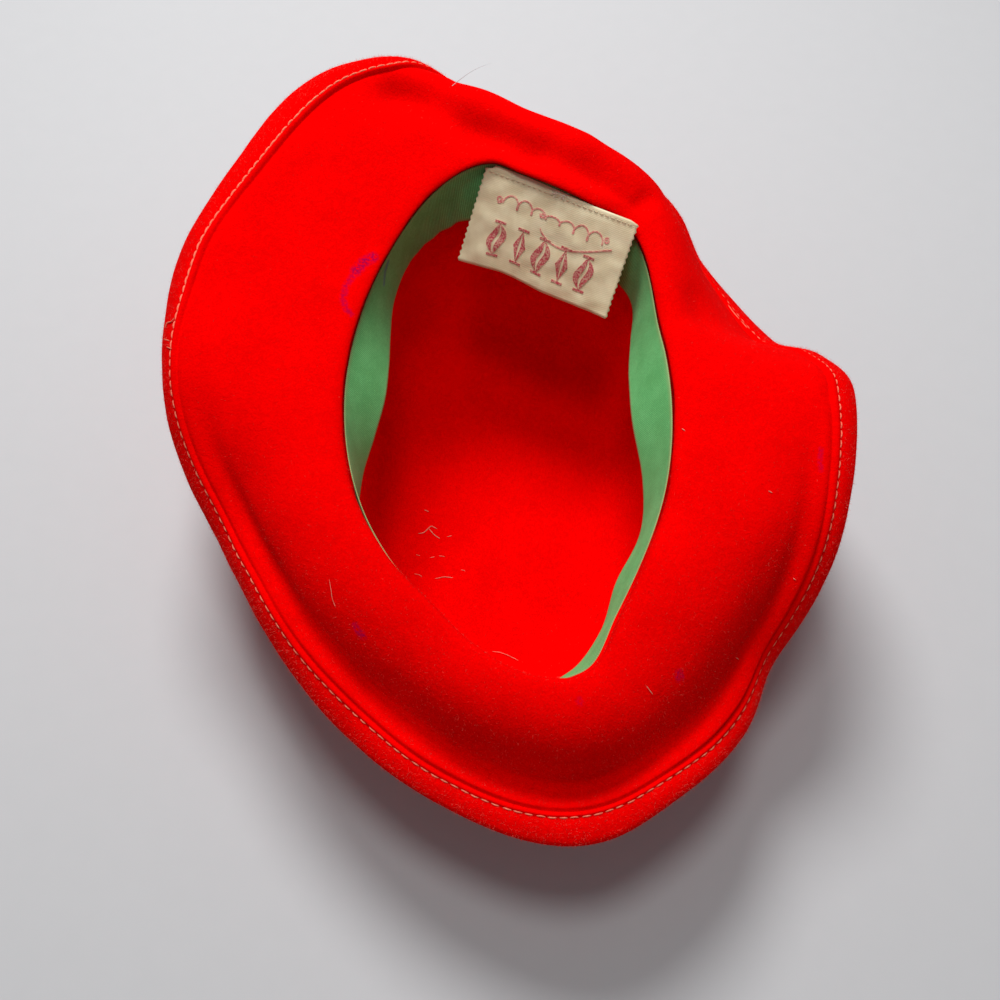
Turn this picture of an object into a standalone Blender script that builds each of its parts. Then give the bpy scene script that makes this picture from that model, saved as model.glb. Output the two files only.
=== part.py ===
"""A felt cloche hat lying on its crown, opening up: one piece of felt with a turned, stitched hem,
a ribbon sweatband and a woven label. Metres, +Z up, the hat's own floor at z = 0."""

import math

import bpy

# The headline is an oval; the table below says how far each side of it is pushed in or out
HEAD_HALF_WIDTH = 0.065
HEAD_HALF_LENGTH = 0.110
HEAD_HEIGHT = 0.107
HEAD_SHIFT = 0.016

# Crown, flattened where it rests
CROWN_HALF_WIDTH = 0.071
CROWN_HALF_LENGTH = 0.103
CROWN_SHIFT = 0.008
CROWN_BLEND_FROM = 0.30
CROWN_CORNER = 0.11
CROWN_CORNER_ANGLE = 124.0
CROWN_CORNER_SPREAD = 24.0

# Felt and its turned hem
FELT_THICKNESS = 0.0022
BRIM_WIDTH = 0.0718
WALL_SLOPE = 88.0
HEM_GAP = 0.0004
HEM_CUT = 82
HEM_STOPS = (96, 91, 86, HEM_CUT)

# Ribbon, sewn just under the headline
RIBBON_WIDTH = 0.025
RIBBON_THICKNESS = 0.0008
RIBBON_INSET = 0.0015
RIBBON_DROP = 0.0012
RIBBON_DROP_UPRIGHT = 0.0012
RIBBON_LEAN_FULL = 42.0
RIBBON_STOPS = (0.0, 0.34, 0.67, 1.0)

# Woven label, hung by its top edge, whose middle lies at shares of the head oval and its height
LABEL_WIDTH = 0.070
LABEL_HEIGHT = 0.042
LABEL_THICKNESS = 0.0008
LABEL_TOP_ACROSS = 0.349
LABEL_TOP_ALONG = 0.8324
LABEL_TOP_HEIGHT = 1.1035
LABEL_TURN = -26.0
LABEL_TILT = 1.0
LABEL_LEAN = 44.0
LABEL_SAG = 0.004
LABEL_COLUMNS = 12
LABEL_ROWS = 6

# The box around the hat stands on the origin
HAT_OFFSET_X = 0.0011
HAT_OFFSET_Y = -0.0174

ROUND = 72
PATH_STEPS = 100

# Brim sections, one row per direction. angle: degrees round the oval from +X. reach: share of the
# oval's size. lift: share of the head height. width: share of the brim width. The slopes, in
# degrees above level, hold at the stops of BRIM_SLOPE_STOPS
BRIM_COLUMNS = ("angle", "reach", "lift", "width", "inner", "rise", "middle", "outer", "ridge", "hem")
BRIM_ROWS = (
    (0, 1.00, 0.00, 1.02, 8, 6, 4, 0, -8, -40),
    (10, 1.005, -0.01, 1.00, 6, -10, -17, -18, -17, -42),
    (20, 1.02, -0.03, 1.00, 0, -32, -44, -46, -37, -42),
    (40, 1.09, 0.03, 1.00, 10, -30, -62, -72, -65, -65),
    (55, 0.98, 0.09, 1.03, -5, 10, -48, -68, -60, -60),
    (70, 0.93, 0.12, 1.03, -5, 17, -49, -66, -60, -60),
    (84, 0.945, 0.12, 1.03, -5, 16, -40, -64, -60, -60),
    (96, 1.00, 0.12, 1.00, 5, 18, -8, -54, -52, -55),
    (108, 1.01, 0.11, 0.96, 14, 14, 2, 18, 4, -42),
    (120, 1.01, 0.08, 1.08, 12, 14, 12, 8, 18, -36),
    (140, 0.99, 0.04, 1.06, 14, 13, 12, 12, 10, -28),
    (160, 0.99, 0.02, 1.145, 12, 10, 8, 6, 5, -50),
    (180, 1.00, 0.00, 1.09, 12, 8, 4, -4, 0, -70),
    (200, 0.98, -0.02, 0.97, 10, -5, -22, -48, -20, -75),
    (220, 0.93, -0.04, 0.91, 8, -12, -32, -62, 0, -72),
    (240, 0.895, -0.06, 0.91, 5, -18, -42, -67, 0, -50),
    (260, 0.95, -0.07, 0.90, 5, -20, -46, -70, 0, -35),
    (280, 1.05, -0.07, 0.94, 5, -18, -42, -68, 0, -25),
    (294, 1.10, -0.06, 0.86, 6, -16, -40, -66, -3, -30),
    (306, 1.03, -0.04, 1.03, 8, -14, -34, -62, -15, -55),
    (320, 1.00, -0.02, 1.09, 10, -8, -25, -58, -42, -75),
    (340, 1.00, 0.00, 0.995, 10, 6, 0, -15, -10, -50),
)
BRIM_SLOPE_STOPS = (0.0, 0.10, 0.24, 0.42, 0.66, 0.80, 0.90, 1.0)
BRIM_RING_STOPS = (3, 6, 10, 15, 21, 28, 35, 43, 51, 58, 65, 71, 77, 82, 86, 91, 96, 100)

# How far the ribbon leans in from upright, in degrees, per direction
RIBBON_COLUMNS = ("angle", "lean")
RIBBON_ROWS = (
    (0, 31),
    (12, 29),
    (24, 18),
    (34, 9),
    (46, 28),
    (60, 37),
    (84, 36),
    (96, 27),
    (108, 10),
    (120, 1),
    (132, -2),
    (144, 5),
    (156, 19),
    (165, 28),
    (174, 31),
    (183, 22),
    (192, 8),
    (204, -4),
    (225, -2),
    (250, 3),
    (280, 12),
    (293, 18),
    (306, 6),
    (319, 13),
    (333, 10),
    (346, 19),
)

# Crown sections from the tip out: height as a share of the headline's, reach of the crown's oval
CROWN_ROWS = (
    (0.000, 0.22),
    (0.000, 0.42),
    (0.006, 0.60),
    (0.045, 0.76),
    (0.130, 0.89),
    (0.270, 0.97),
    (0.440, 1.00),
    (0.620, 1.00),
    (0.780, 1.00),
    (0.900, 1.00),
)

FELT_RED = (0.80, 0.005, 0.004, 1.0)
RIBBON_GREEN = (0.075, 0.28, 0.095, 1.0)
LABEL_CREAM = (0.78, 0.66, 0.42, 1.0)


def smooth(share):
    share = min(max(share, 0.0), 1.0)
    return share * share * (3.0 - 2.0 * share)


def row_at(angle, table=BRIM_ROWS, columns=BRIM_COLUMNS):
    """A table of directions read at any angle, with a smooth curve through its rows."""
    angle %= 360.0
    count = len(table)
    here = max(k for k in range(count) if table[k][0] <= angle)
    rows = [table[(here + step) % count] for step in (-1, 0, 1, 2)]
    turns = [(here + step) // count for step in (-1, 0, 1, 2)]
    a0, a1, a2, a3 = [row[0] + 360.0 * turn for row, turn in zip(rows, turns)]
    u = (angle - a1) / (a2 - a1)
    found = {}
    for k, name in enumerate(columns[1:], 1):
        p0, p1, p2, p3 = [row[k] for row in rows]
        out_slope = (p2 - p0) / (a2 - a0) * (a2 - a1)
        in_slope = (p3 - p1) / (a3 - a1) * (a2 - a1)
        found[name] = hermite(p1, p2, out_slope, in_slope, u)
    return found


def hermite(start, end, start_slope, end_slope, u):
    return (
        (2 * u**3 - 3 * u**2 + 1) * start
        + (u**3 - 2 * u**2 + u) * start_slope
        + (3 * u**2 - 2 * u**3) * end
        + (u**3 - u**2) * end_slope
    )


def slope_at(row, share):
    """Degrees above level at a share of the brim's width, without overshooting the table's slopes."""
    stops = BRIM_SLOPE_STOPS
    values = [WALL_SLOPE] + [row[name] for name in ("inner", "rise", "middle", "outer", "ridge", "hem", "hem")]
    chords = [(values[k + 1] - values[k]) / (stops[k + 1] - stops[k]) for k in range(len(stops) - 1)]
    tangents = [0.0]
    for before, after in zip(chords, chords[1:]):
        tangents.append(0.0 if before * after <= 0 else 2 * before * after / (before + after))
    tangents.append(0.0)
    k = max(j for j in range(len(chords)) if stops[j] <= share)
    run = stops[k + 1] - stops[k]
    return hermite(values[k], values[k + 1], run * tangents[k], run * tangents[k + 1], (share - stops[k]) / run)


def outward(angle):
    """Level unit vector square to the head oval."""
    x = math.cos(math.radians(angle)) / HEAD_HALF_WIDTH
    y = math.sin(math.radians(angle)) / HEAD_HALF_LENGTH
    size = math.hypot(x, y)
    return x / size, y / size


def head_point(angle, row):
    return (
        HEAD_HALF_WIDTH * row["reach"] * math.cos(math.radians(angle)),
        HEAD_HALF_LENGTH * row["reach"] * math.sin(math.radians(angle)) + HEAD_SHIFT,
        HEAD_HEIGHT * (1.0 + row["lift"]),
    )


def brim_path(angle, row):
    """Points of the visible face of one brim section, and the slope at each, in PATH_STEPS steps."""
    x, y, z = head_point(angle, row)
    across = outward(angle)
    step = BRIM_WIDTH * row["width"] / PATH_STEPS
    path = [((x, y, z), math.radians(WALL_SLOPE))]
    for k in range(PATH_STEPS):
        slope = math.radians(slope_at(row, (k + 0.5) / PATH_STEPS))
        x += step * math.cos(slope) * across[0]
        y += step * math.cos(slope) * across[1]
        z += step * math.sin(slope)
        path.append(((x, y, z), slope))
    return path


def off_face(point, slope, angle, out, up):
    """The point moved along its section: out along the felt and up off its visible face."""
    across = outward(angle)
    level = out * math.cos(slope) - up * math.sin(slope)
    return (
        point[0] + level * across[0],
        point[1] + level * across[1],
        point[2] + out * math.sin(slope) + up * math.cos(slope),
    )


def crown_section(angle, row):
    head = head_point(angle, row)
    corner = 1.0 + CROWN_CORNER * math.exp(-(((angle - CROWN_CORNER_ANGLE) / CROWN_CORNER_SPREAD) ** 2))
    points = []
    for height, reach in CROWN_ROWS:
        blend = smooth((height - CROWN_BLEND_FROM) / (1.0 - CROWN_BLEND_FROM))
        reach *= 1.0 + (corner - 1.0) * smooth(height / CROWN_BLEND_FROM)
        x = CROWN_HALF_WIDTH * reach * math.cos(math.radians(angle))
        y = CROWN_HALF_LENGTH * reach * math.sin(math.radians(angle)) + CROWN_SHIFT
        z = FELT_THICKNESS + height * (head[2] - FELT_THICKNESS)
        points.append((x + blend * (head[0] - x), y + blend * (head[1] - y), z))
    return points


def felt_section(angle):
    """Visible face of the felt from the crown's tip, over the brim, round the fold to the cut edge."""
    row = row_at(angle)
    path = brim_path(angle, row)
    points = crown_section(angle, row) + [path[0][0]] + [path[stop][0] for stop in BRIM_RING_STOPS]
    edge, slope = path[PATH_STEPS]
    half_gap = HEM_GAP / 2
    for out, up in ((0.87, 0.5), (0.87, 1.5), (0.0, 2.0)):
        points.append(off_face(edge, slope, angle, out * half_gap, up * half_gap))
    for stop in HEM_STOPS:
        point, slope = path[stop]
        points.append(off_face(point, slope, angle, 0.0, HEM_GAP))
    return points


def ribbon_section(angle):
    row = row_at(angle)
    x, y, z = head_point(angle, row)
    across = outward(angle)
    degrees = row_at(angle, RIBBON_ROWS, RIBBON_COLUMNS)["lean"]
    lean = math.radians(degrees)
    upright = 1.0 - degrees / RIBBON_LEAN_FULL
    z -= RIBBON_DROP + RIBBON_DROP_UPRIGHT * upright
    points = []
    for share in RIBBON_STOPS:
        inward = RIBBON_INSET + share * RIBBON_WIDTH * math.sin(lean)
        down = share * RIBBON_WIDTH * math.cos(lean)
        points.append((x - inward * across[0], y - inward * across[1], z - down))
    return points


def label_point(along, down):
    """along: -0.5 to 0.5 of the width, down: 0 to 1 of the height; the free edge sags a little."""
    turn = math.radians(LABEL_TURN)
    lean = math.radians(LABEL_LEAN)
    side = (math.cos(turn), math.sin(turn))
    inward = (math.sin(turn), -math.cos(turn))
    sag = LABEL_SAG * down * down * (1.0 - 4.0 * along * along)
    reach = LABEL_HEIGHT * down * math.sin(lean) - sag * math.cos(lean)
    drop = LABEL_HEIGHT * down * math.cos(lean) + sag * math.sin(lean)
    drop += LABEL_WIDTH * along * math.sin(math.radians(LABEL_TILT))
    x = LABEL_TOP_ACROSS * HEAD_HALF_WIDTH
    y = LABEL_TOP_ALONG * HEAD_HALF_LENGTH + HEAD_SHIFT
    z = LABEL_TOP_HEIGHT * HEAD_HEIGHT
    return (
        x + LABEL_WIDTH * along * side[0] + reach * inward[0],
        y + LABEL_WIDTH * along * side[1] + reach * inward[1],
        z - drop,
    )


def material(name, colour, roughness):
    made = bpy.data.materials.new(name)
    made.use_nodes = True
    shader = made.node_tree.nodes["Principled BSDF"]
    shader.inputs["Base Color"].default_value = colour
    shader.inputs["Roughness"].default_value = roughness
    made.diffuse_color = colour
    return made


def sheet(name, points, faces, thickness, skin):
    """A sheet of cloth: an open surface given its thickness on the side away from its normals."""
    mesh = bpy.data.meshes.new(name)
    mesh.from_pydata([(x + HAT_OFFSET_X, y + HAT_OFFSET_Y, z) for x, y, z in points], [], faces)
    mesh.materials.append(skin)
    for face in mesh.polygons:
        face.use_smooth = True
    made = bpy.data.objects.new(name, mesh)
    hat.objects.link(made)
    solidify = made.modifiers.new("Thickness", "SOLIDIFY")
    solidify.thickness = thickness
    solidify.offset = -1.0
    solidify.use_even_offset = True
    return made


def ring_faces(rings, first=0):
    """Quads between neighbouring rings of ROUND points, the first ring starting at index first."""
    faces = []
    for ring in range(rings - 1):
        for k in range(ROUND):
            near, far = first + ring * ROUND, first + (ring + 1) * ROUND
            faces.append((near + k, far + k, far + (k + 1) % ROUND, near + (k + 1) % ROUND))
    return faces


def build_felt():
    sections = [felt_section(360.0 * k / ROUND) for k in range(ROUND)]
    rings = len(sections[0])
    points = [(0.0, CROWN_SHIFT, FELT_THICKNESS)]
    points += [section[ring] for ring in range(rings) for section in sections]
    tip = [(0, 1 + k, 1 + (k + 1) % ROUND) for k in range(ROUND)]
    skin = material("red_felt", FELT_RED, 0.95)
    return sheet("felt_body", points, tip + ring_faces(rings, 1), FELT_THICKNESS, skin)


def build_sweatband():
    sections = [ribbon_section(360.0 * k / ROUND) for k in range(ROUND)]
    rings = len(RIBBON_STOPS)
    points = [section[ring] for ring in range(rings) for section in sections]
    faces = [tuple(reversed(face)) for face in ring_faces(rings)]
    return sheet("sweatband", points, faces, RIBBON_THICKNESS, material("green_ribbon", RIBBON_GREEN, 0.75))


def build_label():
    points = []
    for row in range(LABEL_ROWS + 1):
        for column in range(LABEL_COLUMNS + 1):
            points.append(label_point(column / LABEL_COLUMNS - 0.5, row / LABEL_ROWS))
    faces = []
    wide = LABEL_COLUMNS + 1
    for row in range(LABEL_ROWS):
        for column in range(LABEL_COLUMNS):
            corner = row * wide + column
            faces.append((corner, corner + wide, corner + wide + 1, corner + 1))
    return sheet("label", points, faces, LABEL_THICKNESS, material("woven_label", LABEL_CREAM, 0.8))


for old in list(bpy.data.objects):
    bpy.data.objects.remove(old, do_unlink=True)

hat = bpy.data.collections.new("cloche_hat")
bpy.context.scene.collection.children.link(hat)

build_felt()
build_sweatband()
build_label()
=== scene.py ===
import math

import bpy
import numpy as np
from mathutils import Euler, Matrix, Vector, noise
from mathutils.bvhtree import BVHTree


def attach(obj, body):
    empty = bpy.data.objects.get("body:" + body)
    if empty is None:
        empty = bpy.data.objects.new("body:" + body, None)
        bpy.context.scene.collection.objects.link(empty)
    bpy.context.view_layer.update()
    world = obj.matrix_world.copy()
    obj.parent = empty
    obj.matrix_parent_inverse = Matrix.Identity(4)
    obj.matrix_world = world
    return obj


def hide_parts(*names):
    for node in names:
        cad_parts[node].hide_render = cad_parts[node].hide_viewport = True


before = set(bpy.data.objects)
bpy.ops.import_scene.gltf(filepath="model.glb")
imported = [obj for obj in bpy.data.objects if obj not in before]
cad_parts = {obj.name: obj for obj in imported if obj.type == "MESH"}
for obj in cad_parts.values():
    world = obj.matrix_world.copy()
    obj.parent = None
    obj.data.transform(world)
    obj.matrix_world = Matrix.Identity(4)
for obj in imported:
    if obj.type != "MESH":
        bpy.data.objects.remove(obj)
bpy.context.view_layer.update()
dice = np.random.default_rng(11)

# ---- camera, floor and lights

studio = {
    "cameraPlace": (-0.0020, -0.2524, 0.4897),
    "cameraTilt": 28.0,  # degrees from straight down
    "lens": 42.12,
    "floorTone": (0.60, 0.60, 0.61, 1.0),
    "skyTone": (0.95, 0.97, 1.0, 1.0),
    "skyStrength": 0.16,
    "keyPlace": (-0.15, 0.66, 1.16),
    "keySize": 0.5,
    "keyPower": 14.5,
    "fillPlace": (-0.02, 0.02, 1.40),
    "fillSize": 0.3,
    "fillPower": 4.5,
    "aim": (0.0, 0.0, 0.08),
}


def addLight(name, place, size, power):
    lamp = bpy.data.lights.new(name, "AREA")
    lamp.shape = "DISK"
    lamp.size = size
    lamp.energy = power
    holder = bpy.data.objects.new(name, lamp)
    holder.location = place
    holder.rotation_euler = (Vector(studio["aim"]) - Vector(place)).to_track_quat("-Z", "Y").to_euler()
    bpy.context.scene.collection.objects.link(holder)


def setStudio():
    scene = bpy.context.scene
    scene.view_settings.view_transform = "Standard"
    lens = bpy.data.cameras.new("camera")
    lens.lens = studio["lens"]
    lens.clip_start = 0.01
    camera = bpy.data.objects.new("camera", lens)
    camera.location = studio["cameraPlace"]
    camera.rotation_euler = (math.radians(studio["cameraTilt"]), 0.0, 0.0)
    scene.collection.objects.link(camera)
    scene.camera = camera
    addLight("key", studio["keyPlace"], studio["keySize"], studio["keyPower"])
    addLight("fill", studio["fillPlace"], studio["fillSize"], studio["fillPower"])
    sky = bpy.data.worlds.new("sky")
    sky.use_nodes = True
    sky.node_tree.nodes["Background"].inputs["Color"].default_value = studio["skyTone"]
    sky.node_tree.nodes["Background"].inputs["Strength"].default_value = studio["skyStrength"]
    scene.world = sky


# ---- small helpers for meshes and materials


def addMesh(name, points, faces, materials, smooth=True):
    mesh = bpy.data.meshes.new(name)
    mesh.from_pydata(np.asarray(points).tolist(), [], [list(face) for face in faces])
    for skin in materials:
        mesh.materials.append(skin)
    mesh.polygons.foreach_set("use_smooth", [smooth] * len(mesh.polygons))
    made = bpy.data.objects.new(name, mesh)
    bpy.context.scene.collection.objects.link(made)
    return made


def ringFaces(rings, count, first=0, closed=True):
    steps = np.arange(count if closed else count - 1)
    faces = []
    for ring in range(rings - 1):
        near, far = first + ring * count, first + (ring + 1) * count
        after = (steps + 1) % count
        faces.append(np.stack([near + steps, far + steps, far + after, near + after], 1))
    return np.concatenate(faces)


def unit(vectors):
    return vectors / np.maximum(np.linalg.norm(vectors, axis=-1, keepdims=True), 1e-12)


class Shading:
    # a short way to write node trees: values that are sockets are linked, the rest are set
    def __init__(self, name, roughness, colour, specular=0.25):
        self.material = bpy.data.materials.new(name)
        self.material.use_nodes = True
        self.tree = self.material.node_tree
        self.shader = self.tree.nodes["Principled BSDF"]
        self.shader.inputs["Roughness"].default_value = roughness
        self.shader.inputs["Base Color"].default_value = (*colour, 1.0)
        self.shader.inputs["Specular IOR Level"].default_value = specular

    def add(self, kind, out=0, settings=(), **inputs):
        node = self.tree.nodes.new("ShaderNode" + kind)
        for key, value in dict(settings).items():
            setattr(node, key, value)
        for key, value in inputs.items():
            socket = node.inputs[int(key[1:])] if key[1:].isdigit() else node.inputs[key]
            if isinstance(value, bpy.types.NodeSocket):
                self.tree.links.new(value, socket)
            else:
                socket.default_value = value
        return node.outputs[out]

    def use(self, key, socket):
        self.tree.links.new(socket, self.shader.inputs[key])

    def place(self):
        return self.add("TexCoord", "Object")

    def noise(self, scale, detail=2.0, **more):
        return self.add("TexNoise", "Fac", Vector=self.place(), Scale=scale, Detail=detail, **more)

    def math(self, operation, first, second=0.0, clamp=False):
        return self.add("Math", 0, {"operation": operation, "use_clamp": clamp}, _0=first, _1=second)

    def span(self, value, low, high, toLow=0.0, toHigh=1.0):
        return self.add("MapRange", 0, {"interpolation_type": "SMOOTHSTEP"}, Value=value, **{
            "From Min": low, "From Max": high, "To Min": toLow, "To Max": toHigh})

    def mix(self, share, first, second):
        return self.add("Mix", 2, {"data_type": "RGBA"}, _0=share, _6=first, _7=second)

    def bump(self, height, strength, distance):
        self.use("Normal", self.add("Bump", Height=height, Strength=strength, Distance=distance))

    def nearLine(self, points, radius, blur):
        # 1 on a line of points in the object's own place, fading over blur
        nearest = None
        place = self.place()
        for start, end in zip(points, points[1:]):
            run = end - start
            away = self.add("VectorMath", 0, {"operation": "SUBTRACT"}, _0=place, _1=start)
            along = self.add("VectorMath", "Value", {"operation": "DOT_PRODUCT"}, _0=away, _1=run / run.length_squared)
            held = self.math("ADD", along, 0.0, clamp=True)
            foot = self.add("VectorMath", 0, {"operation": "SCALE"}, _0=run, Scale=held)
            gap = self.add("VectorMath", "Value", {"operation": "DISTANCE"}, _0=away, _1=foot)
            nearest = gap if nearest is None else self.math("MINIMUM", nearest, gap)
        return self.span(nearest, radius, radius + blur, 1.0, 0.0)


def photoRay(x, y):
    # the ray through a point of the 1000 x 1000 picture, in the row frame
    focal = studio["lens"] / 36.0 * 1000.0
    turned = Vector(((x - 500.0) / focal, (500.0 - y) / focal, -1.0))
    turned.rotate(Euler((math.radians(studio["cameraTilt"]), 0.0, 0.0)))
    return Vector(studio["cameraPlace"]), turned.normalized()


def treeOf(made):
    return BVHTree.FromPolygons([v.co[:] for v in made.data.vertices], [f.vertices[:] for f in made.data.polygons])


def pointOn(tree, x, y, lift=0.0):
    start, way = photoRay(x, y)
    place, normal, _, _ = tree.ray_cast(start, way)
    if place is None:  # just past an edge
        place, normal, _, _ = tree.find_nearest(start + way * 0.46)
    return place + normal * lift if normal.dot(way) < 0 else place - normal * lift


setStudio()
print("studio set")

# ---- the felt, in the shape of the CAD node but finer

felt = {
    "offset": (0.0011, -0.0174),
    "headHalfWidth": 0.065,
    "headHalfLength": 0.110,
    "headHeight": 0.107,
    "headShift": 0.016,
    "crownHalfWidth": 0.071,
    "crownHalfLength": 0.103,
    "crownShift": 0.008,
    "crownBlendFrom": 0.30,
    "thickness": 0.0022,
    "hemGap": 0.0004,
    "brimWidth": 0.0718,
    "wallSlope": 88.0,
    "around": 360,
    "pathSteps": 100,
    "crownStepsPerRow": 5,
    "lip": (3.5, 3.6),  # where the felt swells in over the ribbon: hundredths out from the headline, spread
    "crownCorner": (124.0, 24.0, 0.11),  # where the crown is fuller: direction, spread, share
    "wander": ((34.0, 0.0006), (95.0, 0.00018)),  # size of the felt's unevenness: per metre, depth
    "bright": (0.93, 0.0, 0.0),
    "deep": (0.76, 0.0, 0.0),
    "inkTone": (0.20, 0.002, 0.075, 1.0),
}

# angle, reach, lift, width, then the slopes at the stops
brimColumns = ("reach", "lift", "width", "inner", "rise", "middle", "outer", "ridge", "hem")
brimRows = (
    (0, 1.00, 0.00, 1.02, 8, 6, 4, 0, -8, -40),
    (10, 1.005, -0.01, 1.00, 6, -10, -17, -18, -17, -42),
    (20, 1.02, -0.03, 1.00, 0, -32, -44, -46, -37, -42),
    (40, 1.09, 0.03, 1.00, 10, -30, -62, -72, -65, -65),
    (55, 0.98, 0.09, 1.03, -5, 10, -48, -68, -60, -60),
    (70, 0.93, 0.12, 1.03, -5, 17, -49, -66, -60, -60),
    (84, 0.945, 0.12, 1.03, -5, 16, -40, -64, -60, -60),
    (96, 1.00, 0.12, 1.00, 5, 18, -8, -54, -52, -55),
    (108, 1.01, 0.11, 0.96, 14, 14, 2, 18, 4, -42),
    (120, 1.01, 0.08, 1.08, 12, 14, 12, 8, 18, -36),
    (140, 0.99, 0.04, 1.06, 14, 13, 12, 12, 10, -28),
    (160, 0.99, 0.02, 1.145, 12, 10, 8, 6, 5, -50),
    (180, 1.00, 0.00, 1.09, 12, 8, 4, -4, 0, -70),
    (200, 0.98, -0.02, 0.97, 10, -5, -22, -48, -20, -75),
    (220, 0.93, -0.04, 0.91, 8, -12, -32, -62, 0, -72),
    (240, 0.895, -0.06, 0.91, 5, -18, -42, -67, 0, -50),
    (260, 0.95, -0.07, 0.90, 5, -20, -46, -70, 0, -35),
    (280, 1.05, -0.07, 0.94, 5, -18, -42, -68, 0, -25),
    (294, 1.10, -0.06, 0.86, 6, -16, -40, -66, -3, -30),
    (306, 1.03, -0.04, 1.03, 8, -14, -34, -62, -15, -55),
    (320, 1.00, -0.02, 1.09, 10, -8, -25, -58, -42, -75),
    (340, 1.00, 0.00, 0.995, 10, 6, 0, -15, -10, -50),
)
slopeStops = (0.0, 0.10, 0.24, 0.42, 0.66, 0.80, 0.90, 1.0)
crownRows = (  # height as a share of the headline's, reach of the crown's oval
    (0.000, 0.02), (0.000, 0.22), (0.000, 0.42), (0.006, 0.60), (0.045, 0.76), (0.130, 0.89),
    (0.270, 0.97), (0.440, 1.00), (0.620, 1.00), (0.780, 1.00), (0.900, 1.00), (0.985, 1.00),
)
# angle, stitch line, cut edge of the turned layer: hundredths of the brim's width
hemColumns = ("stitch", "cut")
hemRows = (
    (0, 89.0, 84.8), (30, 88.0, 84.0), (60, 87.0, 83.0), (92, 84.5, 81.0), (110, 82.0, 79.0), (125, 83.0, 79.5),
    (140, 86.5, 82.5), (152, 87.0, 83.2), (163, 85.5, 82.0), (176, 88.0, 84.5), (200, 86.5, 83.5), (213, 86.0, 83.0),
    (226, 88.0, 85.0), (242, 88.6, 85.8), (262, 90.0, 87.2), (280, 88.6, 86.0), (292, 90.5, 88.0), (304, 92.5, 89.6),
    (318, 92.0, 88.8), (336, 91.0, 87.0),
)
# metres that the felt swells in over the ribbon, by direction
lipRows = ((0, 0.0012), (30, 0.0017), (50, 0.0036), (80, 0.0043), (105, 0.0043), (125, 0.0034), (150, 0.0026),
           (180, 0.0016), (200, 0.0004), (250, 0.0), (325, 0.0), (345, 0.0008))
# how high the turned layer's top lies: share of the way from its cut edge to the stitches, then on to the fold
hemShoulder = ((-1.1, 0.0), (-0.6, -0.00012), (-0.3, -0.00040), (-0.1, -0.00055), (0.0, -0.00035), (0.10, 0.0002),
               (0.28, 0.0008), (0.50, 0.00115), (0.72, 0.0011), (0.88, 0.00085), (1.0, 0.00070))
hemPuff = ((0.08, 0.00095), (0.20, 0.0015), (0.35, 0.0020), (0.55, 0.0024), (0.75, 0.0026), (0.9, 0.0026),
           (1.0, 0.0026))
# the gutter inside the hem on the near side: direction and how much of it there is
gutterRows = ((0, 0.0), (170, 0.0), (205, 0.55), (232, 1.0), (275, 1.0), (305, 0.9), (330, 0.55), (345, 0.25))
gutterForm = ((-3.2, 1.8, 0.0014), (-11.0, 5.5, -0.0044))  # hundredths from the cut edge, spread, height
# dents and swells, by points of the picture: path, radius, depth
feltDents = (
    (((628, 214), (638, 207), (648, 198)), 0.0042, 0.0022),
    (((697, 298), (700, 312)), 0.0080, 0.0018),
    (((832, 387), (832, 395)), 0.0030, 0.0012),
    (((540, 452), (565, 466), (597, 502), (613, 533)), 0.0055, 0.0020),
    (((577, 412), (590, 428)), 0.0150, -0.0050),
    (((548, 545), (572, 600)), 0.0140, -0.0022),
    (((395, 92), (430, 102), (470, 128), (500, 143), (530, 155)), 0.0075, 0.0050),
    (((530, 155), (565, 168), (600, 186), (632, 204)), 0.0055, 0.0022),
    (((440, 88), (470, 100), (500, 113), (535, 128), (575, 146)), 0.0110, -0.0034),
    (((405, 700), (470, 745), (560, 770)), 0.0110, 0.0012),
)


def smooth(share):
    share = min(max(share, 0.0), 1.0)
    return share * share * (3.0 - 2.0 * share)


def hermite(start, end, startSlope, endSlope, u):
    return (
        (2 * u**3 - 3 * u**2 + 1) * start + (u**3 - 2 * u**2 + u) * startSlope
        + (3 * u**2 - 2 * u**3) * end + (u**3 - u**2) * endSlope
    )


def rowAt(angle, table, columns):
    # a table of directions read at any angle, with a smooth curve through its rows
    angle %= 360.0
    count = len(table)
    here = max(k for k in range(count) if table[k][0] <= angle)
    rows = [table[(here + step) % count] for step in (-1, 0, 1, 2)]
    a0, a1, a2, a3 = [row[0] + 360.0 * ((here + step) // count) for row, step in zip(rows, (-1, 0, 1, 2))]
    u = (angle - a1) / (a2 - a1)
    found = {}
    for k, name in enumerate(columns, 1):
        p0, p1, p2, p3 = [row[k] for row in rows]
        found[name] = hermite(p1, p2, (p2 - p0) / (a2 - a0) * (a2 - a1), (p3 - p1) / (a3 - a1) * (a2 - a1), u)
    return found


def slopesAlong(row, shares):
    # degrees above level at each share of the brim's width, never beyond the table's own slopes
    stops = slopeStops
    values = [felt["wallSlope"]] + [row[name] for name in brimColumns[3:9]] + [row["hem"]]
    chords = [(values[k + 1] - values[k]) / (stops[k + 1] - stops[k]) for k in range(len(stops) - 1)]
    tangents = [0.0]
    for before, after in zip(chords, chords[1:]):
        tangents.append(0.0 if before * after <= 0 else 2 * before * after / (before + after))
    tangents.append(0.0)
    found = []
    for share in shares:
        k = max(j for j in range(len(chords)) if stops[j] <= share)
        run = stops[k + 1] - stops[k]
        along = (share - stops[k]) / run
        found.append(hermite(values[k], values[k + 1], run * tangents[k], run * tangents[k + 1], along))
    return np.radians(found)


def outward(angle):
    x = math.cos(math.radians(angle)) / felt["headHalfWidth"]
    y = math.sin(math.radians(angle)) / felt["headHalfLength"]
    size = math.hypot(x, y)
    return x / size, y / size


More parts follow.
